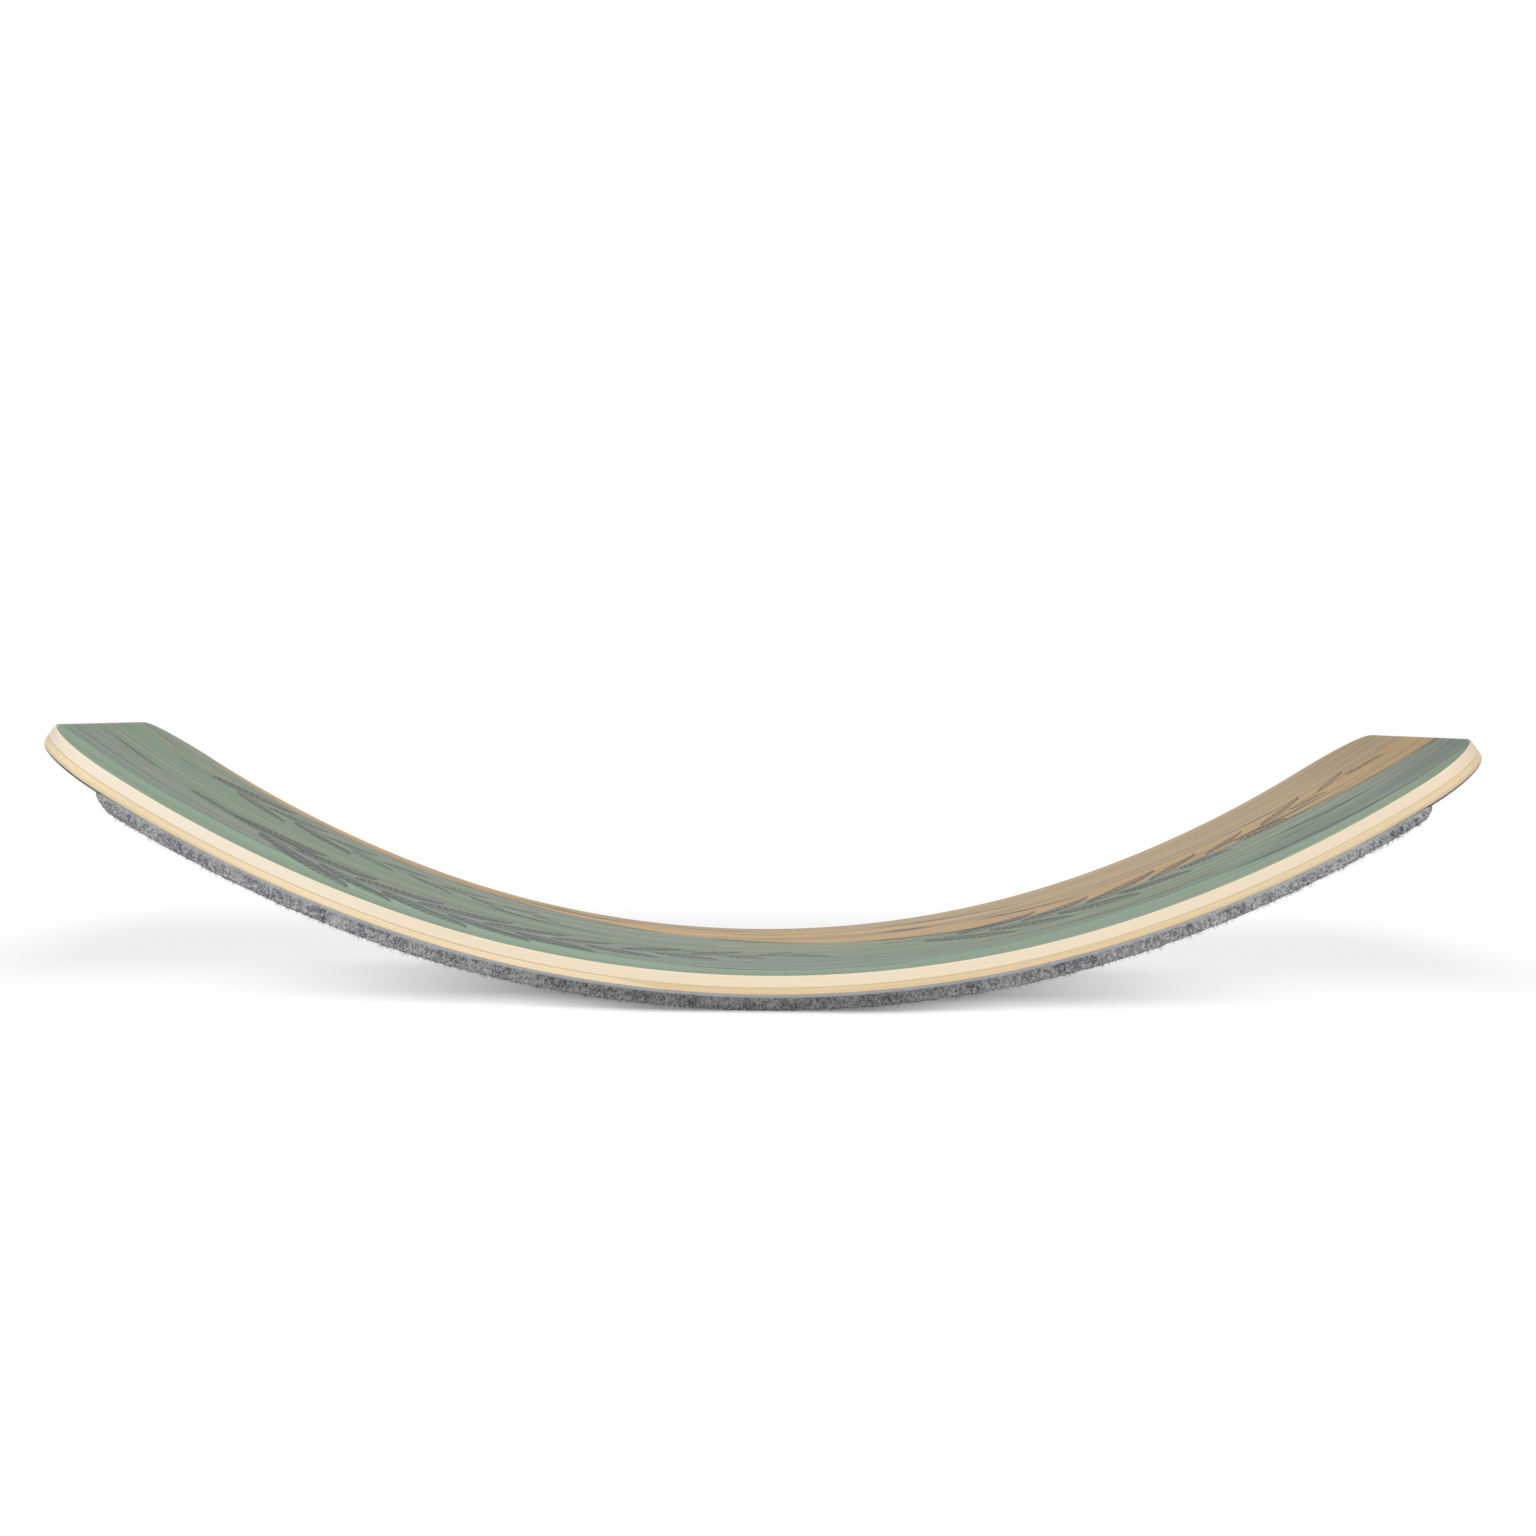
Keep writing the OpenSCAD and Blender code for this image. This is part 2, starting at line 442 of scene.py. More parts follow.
def printMaterial():
    material, tree, shader = newMaterial("strataPrint")
    place, axes = flatPlace(tree)
    along, across = axes["X"], axes["Y"]
    grain = grainNoises(tree, place, facePrint["noises"])
    streak, broad, fibre = grain["streak"], grain["broad"], grain["fibre"]

    def centred(value, size):  # noise as a shift to both sides
        return calc(tree, "MULTIPLY", calc(tree, "SUBTRACT", value, 0.5), size)

    creep = centred(grain["creep"], facePrint["creepSize"])
    drift = centred(grain["drift"], facePrint["driftSize"])
    stain = calc(tree, "MULTIPLY_ADD", streak, facePrint["streakWeight"], broad)
    stain = spread(tree, stain, *facePrint["stainRange"])

    def stained(layer):
        return blend(tree, stain, tint(*layer["tone"]), tint(*layer["streak"]))

    # strata, each over the one beyond it, and the contours between them
    colour = stained(facePrint["far"])
    outline = 0.0
    brush = spread(tree, grain["brush"], *facePrint["brushRange"])
    breadth = calc(tree, "MULTIPLY_ADD", brush, facePrint["contour"], facePrint["hairline"])
    for layer in facePrint["strata"]:
        edge, slant, swing, wave, phase = layer["line"]
        turn = calc(tree, "MULTIPLY_ADD", along, math.tau / wave, phase)
        line = calc(tree, "MULTIPLY_ADD", calc(tree, "SINE", turn), swing, edge)
        line = calc(tree, "MULTIPLY_ADD", along, slant, line)
        line = calc(tree, "ADD", calc(tree, "ADD", line, creep), drift)
        inner = calc(tree, "SUBTRACT", line, across)
        mask = calc(tree, "DIVIDE", inner, facePrint["edgeBlur"], clamp=True)
        colour = blend(tree, mask, colour, stained(layer))
        drawn = calc(tree, "SUBTRACT", breadth, calc(tree, "ABSOLUTE", inner))
        drawn = calc(tree, "DIVIDE", drawn, facePrint["edgeBlur"], clamp=True)
        outline = calc(tree, "MAXIMUM", outline, drawn)
    slate = spread(tree, broad, *facePrint["hazeRange"])
    colour = blend(tree, slate, colour, tint(*facePrint["haze"]))
    gate = spread(tree, grain["gate"], *facePrint["gateRange"])
    ink = tint(*facePrint["ink"])
    colour = blend(tree, calc(tree, "MULTIPLY", outline, gate), colour, ink)
    # leaf sprigs
    group = leafSprigGroup()
    strength = spread(tree, streak, *facePrint["sprigInk"])
    alongLeaf = calc(tree, "ADD", along, drift)
    acrossLeaf = calc(tree, "MULTIPLY_ADD", creep, facePrint["sprigCreep"], across)
    for sprig in facePrint["sprigs"]:
        leaves = addNode(tree, "Group", node_tree=group)
        for socket, value in zip(leaves.inputs, (alongLeaf, acrossLeaf, *sprig)):
            feed(tree, socket, value)
        colour = blend(tree, calc(tree, "MULTIPLY", leaves.outputs[0], strength), colour, ink)
    # how far in from the rounded outline
    past = []
    for value, half in ((along, board["halfArc"]), (across, halfWidth)):
        beyond = calc(tree, "SUBTRACT", calc(tree, "ABSOLUTE", value), half - board["cornerRadius"])
        past.append(calc(tree, "POWER", calc(tree, "MAXIMUM", beyond, 0.0), 2.0))
    inside = calc(tree, "SUBTRACT", board["cornerRadius"], calc(tree, "SQRT", calc(tree, "ADD", *past)))
    rubbed = spread(tree, calc(tree, "ADD", inside, creep), *facePrint["rubRange"])
    colour = blend(tree, rubbed, colour, tint(*facePrint["bare"]))
    # wood grain through the print
    figure = calc(tree, "SINE", calc(tree, "MULTIPLY", grain["figure"], facePrint["figureTurn"]))
    tone = spread(tree, streak, *facePrint["streakTone"])
    tone = calc(tree, "ADD", tone, spread(tree, fibre, *facePrint["fibreTone"]))
    tone = calc(tree, "MULTIPLY_ADD", figure, facePrint["figureTone"], tone)
    tone = calc(tree, "MULTIPLY", tone, spread(tree, along, *facePrint["rightEndDarkening"]))
    tree.links.new(shaded(tree, colour, tone), shader.inputs["Base Color"])
    tree.links.new(spread(tree, streak, *facePrint["roughRange"]), shader.inputs["Roughness"])
    shader.inputs["Specular IOR Level"].default_value = facePrint["specular"]
    relief = calc(tree, "MULTIPLY_ADD", streak, facePrint["streakWeight"], fibre)
    bump(tree, shader, relief, *facePrint["bump"])
    return material


# Edges of the plies: quiet streaks, fine pores, glue lines and the scarf joints of the honey plies
plyEdges = {
    # tones from -s to +s, with the stretch over which each gives way to the next
    "pale": {
        "tones": [(243, 230, 209), (240, 224, 198), (236, 220, 194)],
        "turns": [(-0.25, -0.13), (0.18, 0.38)],
        "streakShare": 0.014,
    },
    "honey": {
        "tones": [(243, 222, 183), (232, 206, 165), (232, 210, 172)],
        "turns": [(-0.0856, -0.0844), (0.2094, 0.2106)],
        "streakShare": 0.055,
    },
    "stain": {"tones": [(116, 119, 123)], "turns": [], "streakShare": 0.30},
    "jointSlope": 9.0,  # length of a scarf joint over its height
    "seam": (214, 190, 146),  # the line between the two woods
    "seamRange": (0.00020, 0.00065, 0.75, 0.0),
    "noises": {
        "streak": {"scale": (10.0, 260.0, 1500.0)},
        "pores": {"scale": (1100.0, 1100.0, 420.0), "detail": 2.0},
        "broad": {"scale": (5.0, 7.0, 40.0), "detail": 2.0},
    },
    "streakRange": (0.3, 0.7),
    "poreRange": (0.30, 0.44),
    "glueRange": (0.00010, 0.00030, 1.0, 0.0),
    "gluePatches": (0.36, 0.56),  # a glue line comes and goes
    "glueShare": 0.07,
    "roughRange": (0.2, 0.8, 0.62, 0.50),
    "specular": 0.3,
    "bump": (0.06, 0.0002),
}


def plyMaterial(name, finish, glueDepths):
    material, tree, shader = newMaterial(name)
    place, axes = flatPlace(tree)
    depth = calc(tree, "MULTIPLY", axes["Z"], -1.0)
    below = calc(tree, "SUBTRACT", depth, seamDepth)
    along = calc(tree, "MULTIPLY_ADD", below, -plyEdges["jointSlope"], axes["X"])
    grain = grainNoises(tree, place, plyEdges["noises"])
    streak, pores, broad = grain["streak"], grain["pores"], grain["broad"]
    colour = tint(*finish["tones"][0])
    for turn, tone in zip(finish["turns"], finish["tones"][1:]):
        colour = blend(tree, spread(tree, along, *turn), colour, tint(*tone))
    share = finish["streakShare"]
    shade = spread(tree, streak, *plyEdges["streakRange"], 1.0 - share, 1.0 + share)
    shade = calc(tree, "ADD", shade, spread(tree, broad, *plyEdges["streakRange"], -share / 2, share / 2))
    shade = calc(tree, "SUBTRACT", shade, spread(tree, pores, *plyEdges["poreRange"], share, 0.0))
    patchy = spread(tree, broad, *plyEdges["gluePatches"])
    for glueDepth in glueDepths:
        away = calc(tree, "ABSOLUTE", calc(tree, "SUBTRACT", depth, glueDepth))
        glue = calc(tree, "MULTIPLY", spread(tree, away, *plyEdges["glueRange"]), patchy)
        shade = calc(tree, "MULTIPLY_ADD", glue, -plyEdges["glueShare"], shade)
    seam = spread(tree, calc(tree, "ABSOLUTE", below), *plyEdges["seamRange"])
    colour = blend(tree, seam, colour, tint(*plyEdges["seam"]))
    tree.links.new(shaded(tree, colour, shade), shader.inputs["Base Color"])
    tree.links.new(spread(tree, pores, *plyEdges["roughRange"]), shader.inputs["Roughness"])
    shader.inputs["Specular IOR Level"].default_value = plyEdges["specular"]
    bump(tree, shader, calc(tree, "ADD", streak, pores), *plyEdges["bump"])
    return material


def ringAt(inset, depth):
    return lambda way, s: (inset, depth)


def edgeInset(depth):  # eased upper edge and rounded lower edge
    inset = 0.0
    for ease, into in ((board["topEase"], depth), (board["lowerRadius"], woodDepth - depth)):
        if into < ease:
            inset += ease - math.sqrt(max(0.0, ease * ease - (ease - into) ** 2))
    return inset


def layerRings(top, bottom):
    places = {top, bottom}
    for i in range(board["easeSteps"] + 1):
        rise = 1.0 - math.cos(math.pi / 2 * i / board["easeSteps"])
        places |= {board["topEase"] * rise, woodDepth - board["lowerRadius"] * rise}
    inside = sorted(d for d in places if top + board["ringGap"] < d < bottom - board["ringGap"])
    return [ringAt(edgeInset(d), d) for d in (top, *inside, bottom)]


def woodLayer(name, nodeName, top, material, edgeMaterial=None):
    bottom = depthUnder[nodeName]
    rings = layerRings(top, bottom)
    bm = roundedSheet(board["halfArc"], halfWidth, board["cornerRadius"], board["cornerSteps"], rings)
    straight = board["halfArc"] - board["cornerRadius"]
    cutAcross(bm, evenPlaces(straight, board["strip"]), 0)
    if edgeMaterial:
        for f in bm.faces:
            f.material_index = 0 if all(abs(v.co.z) < board["weld"] for v in f.verts) else 1
    bendSheet(bm)
    piece = pieceFrom(bm, name, [material, edgeMaterial] if edgeMaterial else [material])
    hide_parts(nodeName)
    return bottom


paleNodes = ["pale_ply_%d" % i for i in range(1, 5)]
honeyNodes = ["honey_ply_%d" % i for i in range(1, 4)]
paleEdge = plyMaterial("paleEdge", plyEdges["pale"], [])
honeyEdge = plyMaterial("honeyEdge", plyEdges["honey"], [depthUnder[n] for n in honeyNodes[:-1]])
stainEdge = plyMaterial("darkStain", plyEdges["stain"], [])
layerTop = woodLayer("faceVeneer", "face_veneer", 0.0, printMaterial(), paleEdge)
for nodeName in paleNodes:
    pieceName = nodeName.replace("pale_ply_", "palePly")
    layerTop = woodLayer(pieceName, nodeName, layerTop, paleEdge)
for nodeName in honeyNodes:
    pieceName = nodeName.replace("honey_ply_", "honeyPly")
    layerTop = woodLayer(pieceName, nodeName, layerTop, honeyEdge)
layerTop = woodLayer("backingPly", "backing_ply", layerTop, stainEdge)
print("laminate pressed:", round(layerTop * 1000, 2), "mm")

# Felt sole: a needled sheet whose long sides are pressed up round the lower edge of the wood
felt = {
    "halfArc": 0.377,
    "cornerRadius": 0.0045,
    "cornerSteps": 5,
    "grain": 0.0016,  # length of a facet along the sides
    "across": 0.010,  # facets across the sole
    "lip": 0.0032,  # how far the sides reach up over the wood, at the middle
    "lipFall": 0.58,  # share of it that is lost towards the ends
    "lipPower": 3.0,  # and how late
    "flatInset": 0.0044,  # where the flat top of the felt begins
    "hugShares": (0.0, 0.20, 0.45, 0.70, 0.90),  # rings on the wood, as shares of the lip
    # rings down the outer face, as shares of its height
    "faceShares": (0.0, 0.04, 0.10, 0.20, 0.32, 0.46, 0.60, 0.74, 0.86, 0.94, 1.0),
    "crestPower": 6,  # how soon the face comes out from the crest
    "bulge": 0.0007,
    "bulgePower": 0.6,  # below 1, it is fullest near the crest
    "bottomRound": 0.0012,
    "roundPower": 12,  # how near the floor it turns in
    "endLean": (0.0100, 0.0060),  # how far the left and right ends draw in towards the floor
    "leanPower": 1.5,
    # where the felt is thicker or thinner: middle, half reach and what it gains towards the floor
    "swells": [(-0.21, 0.08, 0.0006), (0.15, 0.05, 0.0002), (0.377, 0.09, -0.0010)],
    "lump": 0.00026,
    "lumpSize": 0.0035,
    "fineLump": (0.6, 2.7),  # share of the finer lumps, and how much finer they are
    "lumpsFrom": 0.01,  # lumps start this share of the thickness below the wood
    "woodClear": 0.0002,  # or where the felt stands this far out from it
    "tuft": 0.0005,  # raggedness of the lower edge
    "tuftSize": 0.0022,
    "noises": {
        "coarse": {"scale": (760.0, 760.0, 560.0), "rough": 0.7},
        "fine": {"scale": (2900.0, 2900.0, 1500.0), "detail": 2.0},
        "cloud": {"scale": (70.0, 70.0, 70.0), "detail": 2.0},
    },
    "noiseShares": {"coarse": 0.52, "fine": 0.32, "cloud": 0.16},
    "light": (180, 182, 184),
    "dark": (74, 76, 80),
    "lightRange": (0.38, 0.62),
    "middleShadeRange": (0.03, 0.27, 0.42, 0.0),  # painted shade: darker in the middle, where it bears
    "lowLight": 0.56,  # painted light: paler towards the floor, on the rising sides
    "lowLightReach": (0.0, 0.14),
    "crestHighlight": (170, 172, 175),  # painted highlight along the crest of the lip
    "rimRange": (0.0010, 0.0020, 1.0, 0.0),  # the painted highlight fades below the crest
    "crestHighlightWander": 0.002,
    "crestHighlightShare": (0.95, -0.5),  # in the middle, and what the ends add
    "crestHighlightPatches": (0.35, 0.65, 0.65, 1.0),
    "rough": 1.0,
    "specular": 0.1,
    "sheen": 0.15,
    "sheenRough": 0.6,
    "bump": (0.5, 0.0006),
}


def lipHeight(s):
    return felt["lip"] * (1.0 - felt["lipFall"] * abs(s / felt["halfArc"]) ** felt["lipPower"])


def feltOnWood(share):  # a side's ring on the rounded edge of the wood
    def place(lip):
        return edgeInset(feltTop - share * lip), share * lip
    return place


def feltFace(share):  # a side's ring on the outer face, from the crest down
    def place(lip):
        inset = edgeInset(feltTop - lip) * (1.0 - share) ** felt["crestPower"]
        inset -= felt["bulge"] * math.sin(math.pi * share ** felt["bulgePower"])
        inset += felt["bottomRound"] * share ** felt["roundPower"]
        return inset, lip - (feltThickness + lip) * share
    return place


def drawIn(s, depth):  # the felt is shorter towards the floor, and not evenly thick
    low = max(0.0, (depth - feltTop) / feltThickness)
    lean = felt["endLean"][s > 0] / felt["halfArc"]
    gain = sum(most * math.exp(-((s - middle) / reach) ** 2) for middle, reach, most in felt["swells"])
    return s * (1.0 - lean * low ** felt["leanPower"]), depth + gain * low


def feltRing(sidePlace, endPlace):
    def place(way, s):
        side = sidePlace(lipHeight(s))
        share = way.y * way.y
        inset, height = [a * share + b * (1.0 - share) for a, b in zip(side, endPlace)]
        return inset, feltTop - height
    return place


def feltMaterial():
    material, tree, shader = newMaterial("needledFelt")
    place, axes = flatPlace(tree)
    up = axes["Z"]
    grain = grainNoises(tree, place, felt["noises"])
    coarse, fine = grain["coarse"], grain["fine"]
    shares = felt["noiseShares"]
    mixed = calc(tree, "MULTIPLY_ADD", coarse, shares["coarse"], calc(tree, "MULTIPLY", fine, shares["fine"]))
    mixed = calc(tree, "MULTIPLY_ADD", grain["cloud"], shares["cloud"], mixed)
    light = spread(tree, mixed, *felt["lightRange"])
    colour = blend(tree, light, tint(*felt["dark"]), tint(*felt["light"]))
    # painted shade in the middle, and painted light low on the rising sides
    far = calc(tree, "ABSOLUTE", axes["X"])
    middleShade = spread(tree, far, *felt["middleShadeRange"])
    low = spread(tree, up, -feltTop, -boardDepth, 0.0, felt["lowLight"])
    low = calc(tree, "MULTIPLY", low, spread(tree, far, *felt["lowLightReach"]))
    colour = shaded(tree, colour, calc(tree, "SUBTRACT", calc(tree, "ADD", low, 1.0), middleShade))
    # painted highlight under the crest of the lip
    way = calc(tree, "POWER", calc(tree, "DIVIDE", far, felt["halfArc"]), felt["lipPower"])
    crest = calc(tree, "MULTIPLY_ADD", way, -felt["lip"] * felt["lipFall"], felt["lip"] - feltTop)
    under = calc(tree, "SUBTRACT", crest, up)
    under = calc(tree, "MULTIPLY_ADD", calc(tree, "SUBTRACT", coarse, 0.5), felt["crestHighlightWander"], under)
    midShare, endGain = felt["crestHighlightShare"]
    crestHighlight = spread(tree, under, *felt["rimRange"])
    crestHighlight = calc(tree, "MULTIPLY", crestHighlight, calc(tree, "MULTIPLY_ADD", way, endGain, midShare))
    crestHighlight = calc(tree, "MULTIPLY", crestHighlight, spread(tree, fine, *felt["crestHighlightPatches"]))
    colour = blend(tree, crestHighlight, colour, tint(*felt["crestHighlight"]))
    tree.links.new(colour, shader.inputs["Base Color"])
    shader.inputs["Roughness"].default_value = felt["rough"]
    shader.inputs["Specular IOR Level"].default_value = felt["specular"]
    shader.inputs["Sheen Weight"].default_value = felt["sheen"]
    shader.inputs["Sheen Roughness"].default_value = felt["sheenRough"]
    bump(tree, shader, calc(tree, "ADD", coarse, fine), *felt["bump"])
    return material


def feltSole():
    flat = felt["flatInset"]
    rings = [feltRing(lambda lip: (flat, 0.0), (flat, 0.0))]
    for number, share in enumerate(felt["hugShares"]):
        endInset = flat * (1.0 - (number + 1) / (len(felt["hugShares"]) + 1))
        rings.append(feltRing(feltOnWood(share), (endInset, 0.0)))
    rings += [feltRing(feltFace(share), (0.0, -feltThickness * share)) for share in felt["faceShares"]]
    bm = roundedSheet(felt["halfArc"], halfWidth, felt["cornerRadius"], felt["cornerSteps"], rings)
    cutAcross(bm, evenPlaces(felt["halfArc"] - felt["cornerRadius"], felt["grain"]), 0)
    cutAcross(bm, evenPlaces(halfWidth - felt["cornerRadius"], felt["across"]), 1)
    innerLayer = bm.verts.layers.float_vector["inner"]
    wayLayer = bm.verts.layers.float_vector["way"]
    ringLayer = bm.verts.layers.float["ring"]
    fineShare, finer = felt["fineLump"]
    for v in bm.verts:
        way = v[wayLayer].copy()
        if way.length < 0.99:  # inside a cap, where it is no unit vector
            continue
        inset, depth = rings[round(v[ringLayer])](way, v[innerLayer].x)  # the lip's height follows s
        v.co = v[innerLayer] + way * (felt["cornerRadius"] - inset)
        v.co.z = -depth
        low = (depth - feltTop) / feltThickness
        if low > felt["lumpsFrom"] or inset < edgeInset(depth) - felt["woodClear"]:
            spot = v.co / felt["lumpSize"]
            lump = noise.noise(spot) + fineShare * noise.noise(spot * finer)
            v.co.z -= noise.noise(v.co / felt["tuftSize"]) * felt["tuft"] * max(0.0, low)
            v.co += way * lump * felt["lump"]
    for v in bm.verts:
        v.co.x, depth = drawIn(v.co.x, -v.co.z)
        v.co.z = -depth
    bendSheet(bm)
    for v in bm.verts:
        v.co.z = max(v.co.z, 0.0)
    piece = pieceFrom(bm, "feltSole", [feltMaterial()])
    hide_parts("felt_sole")
    return piece


# Fuzz: clumps of loose fibres along the edges of the felt
fuzz = {
    "sides": {"Near": (0, -1, 0), "Far": (0, 1, 0), "Left": (-1, 0, 0), "Right": (1, 0, 0)},
    "seed": 5,
    "clumpStep": 0.00031,  # length of edge to each clump
    "clumpFibres": 4,
    "clumpHeight": (0.4, 1.0, 0.98),  # highest, lowest and most common, as shares of the way down the face
    "clumpLean": 0.6,
    "clumpHalf": 0.0004,  # a fibre's place in its clump, along the edge
    "clumpSpread": 0.06,  # and down the face
    "length": (0.0004, 0.0028, 0.0011),  # shortest, longest and most common
    "endLength": 0.55,  # fibres at the ends have this share of it
    "sway": (0.4, 0.2),
    "droop": 0.3,
    "hangFrom": 0.6,  # fibres stand out from the face and hang from the lower edge
    "hangOver": 0.3,
    "hangIn": 0.75,  # how much less a hanging fibre stands out
    "radius": 0.00006,
    "points": (-0.3, 0.4, 1.0),  # along a fibre, from inside the felt
    "taper": (1.0, 0.8, 0.3),  # and how thick it is there
    "tones": ((104, 106, 110), (196, 198, 200)),
    "patches": {"scale": (600.0, 600.0, 600.0), "detail": 1.0},
    "patchRange": (0.40, 0.60),
    "rough": 0.9,
    "specular": 0.2,
}


def fibreMaterial():
    material, tree, shader = newMaterial("feltFibre")
    patch = grainNoise(tree, objectPlace(tree), **fuzz["patches"])
    dark, light = fuzz["tones"]
    colour = blend(tree, spread(tree, patch, *fuzz["patchRange"]), tint(*dark), tint(*light))
    tree.links.new(colour, shader.inputs["Base Color"])
    shader.inputs["Roughness"].default_value = fuzz["rough"]
    shader.inputs["Specular IOR Level"].default_value = fuzz["specular"]
    return material


def eitherWay(draw, most):  # by chance, to both sides alike
    return draw.uniform(-most, most)


def fibrePoints(draw, root, depth, way, lean, low):
    length = draw.triangular(*fuzz["length"]) * (1.0 if way.y else fuzz["endLength"])
    sway = Vector((*[eitherWay(draw, most) for most in fuzz["sway"]], 0.0))
    out = 1.0 - fuzz["hangIn"] * low
    droop = low + eitherWay(draw, fuzz["droop"])
    points = []
    for step in fuzz["points"]:
        at = root + (way * out + lean + sway * step) * length * step
        point = bend(at.x, at.y, depth + droop * length * step)
        point.z = max(point.z, fuzz["radius"])
        points.append(point)
    return points


def fibreRoot(way, near, share):  # a place on the felt's face, and its depth
    if way.y:
        inset, height = feltFace(share)(lipHeight(near))
        root = Vector((near, way.y * (halfWidth - inset), 0.0))
    else:
        height = -feltThickness * share
        root = Vector((way.x * felt["halfArc"], near, 0.0))
    root.x, depth = drawIn(root.x, feltTop - height)
    return root, depth


def feltFuzz(name, way, material):
    draw = random.Random(fuzz["seed"])
    curve = bpy.data.curves.new(name, "CURVE")
    curve.dimensions = "3D"
    curve.bevel_depth = fuzz["radius"]
    curve.bevel_resolution = 0
    curve.use_fill_caps = True
    half = (felt["halfArc"] if way.y else halfWidth) - felt["cornerRadius"]
    for clump in range(round(2 * half / fuzz["clumpStep"])):
        walk = eitherWay(draw, half)
        middle = draw.triangular(*fuzz["clumpHeight"])
        lean = Vector((eitherWay(draw, fuzz["clumpLean"]), eitherWay(draw, fuzz["clumpLean"]), 0.0))
        lean -= way * lean.dot(way)
        for fibre in range(fuzz["clumpFibres"]):
            near = walk + eitherWay(draw, fuzz["clumpHalf"])
            share = min(1.0, max(0.0, middle + eitherWay(draw, fuzz["clumpSpread"])))
            root, depth = fibreRoot(way, near, share)
            low = max(0.0, min(1.0, (share - fuzz["hangFrom"]) / fuzz["hangOver"]))
            points = fibrePoints(draw, root, depth, way, lean, low)
            spline = curve.splines.new("POLY")
            spline.points.add(len(points) - 1)
            for slot, point, radius in zip(spline.points, points, fuzz["taper"]):
                slot.co = (*point, 1.0)
                slot.radius = radius
    shape = linked(name + "Shape", curve)
    bpy.context.view_layer.update()
    mesh = bpy.data.meshes.new_from_object(shape.evaluated_get(bpy.context.evaluated_depsgraph_get()))
    bpy.data.objects.remove(shape)
    mesh.name = name
    mesh.materials.clear()
    mesh.materials.append(material)
    piece = linked(name, mesh)
    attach(piece, "root")
    return piece


soleFelt = feltSole()
fuzzMaterial = fibreMaterial()
soleFuzz = [feltFuzz("feltFuzz" + side, Vector(way), fuzzMaterial) for side, way in fuzz["sides"].items()]
fuzzFaces = sum(len(piece.data.polygons) for piece in soleFuzz)
print("felt laid:", len(soleFelt.data.polygons), "faces,", fuzzFaces, "in its fuzz")

# Adhesive film under the felt, a plain sheet of the frame
adhesiveFilm = {
    "tones": ((188, 183, 170), (206, 202, 190)),
    "cloud": {"scale": (90.0, 90.0, 90.0)},
    "cloudRange": (0.35, 0.65),
    "roughRange": (0.3, 0.7, 0.45, 0.6),
}


def adhesiveMaterial():
    material, tree, shader = newMaterial("adhesiveFilm")
    cloud = grainNoise(tree, objectPlace(tree), **adhesiveFilm["cloud"])
    dark, light = adhesiveFilm["tones"]
    colour = blend(tree, spread(tree, cloud, *adhesiveFilm["cloudRange"]), tint(*dark), tint(*light))
    tree.links.new(colour, shader.inputs["Base Color"])
    tree.links.new(spread(tree, cloud, *adhesiveFilm["roughRange"]), shader.inputs["Roughness"])
    return material


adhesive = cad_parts["felt_adhesive"]
adhesive.data.materials.clear()
adhesive.data.materials.append(adhesiveMaterial())
print("adhesive spread")

# Floor, light and camera
studio = {
    "floorHalf": 6.0,
    "floorPale": 0.75,  # what the floor throws back at the board
    "floorSeen": 1.8,  # its colour to the eye, so that only the deeper shadow shows on white
    "shadowReach": (0.02, 0.36, 0.92, 0.0),  # towards the ends it fades to plain white
    "shadowSides": (0.05, 0.17, 1.0, 0.0),  # and towards the long sides
    "contactHalf": (0.04, 0.15, 0.72, 0.0),  # painted shadow, darker where the felt bears on the floor
    "contactReach": (0.0, 0.030, 1.0, 0.0),  # breadth of the dark line in front of it
    "wideReach": (0.42, 0.55, 0.14, 0.0),  # a faint painted shadow under the raised ends fades past them
    "wideFront": (-0.10, 0.16, 0.0, 1.0),  # and towards the front
    "wideBack": (0.26, 0.62, 1.0, 0.0),  # and the back
    "skyStrength": 0.66,
    "sideSky": (0.35, 0.95),  # the sky darkens to the sides, between these shares of its width
    "sideShade": 0.75,
    # place, breadth and height, power, and whether the lacquer gleams in it
    "lamps": {
        "softKey": ((0.0, -2.0, 1.7), (2.4, 1.6), 39.0, True),
        "softFill": ((0.0, 2.4, 0.40), (2.6, 0.5), 15.0, False),  # low, for the far edge
    },
    "lampAim": (0.0, 0.0, 0.06),
}


def whiteForSight(tree, rays):  # 1 for what the camera or a gloss sees straight, 0 for the light on things
    seen = calc(tree, "MAXIMUM", rays["Is Camera Ray"], rays["Is Glossy Ray"])
    return calc(tree, "MAXIMUM", seen, rays["Is Transmission Ray"])


def mixShaders(tree, share, first, second):
    made = addNode(tree, "MixShader")
    for socket, value in zip(made.inputs, (share, first, second)):
        feed(tree, socket, value)
    return made.outputs[0]


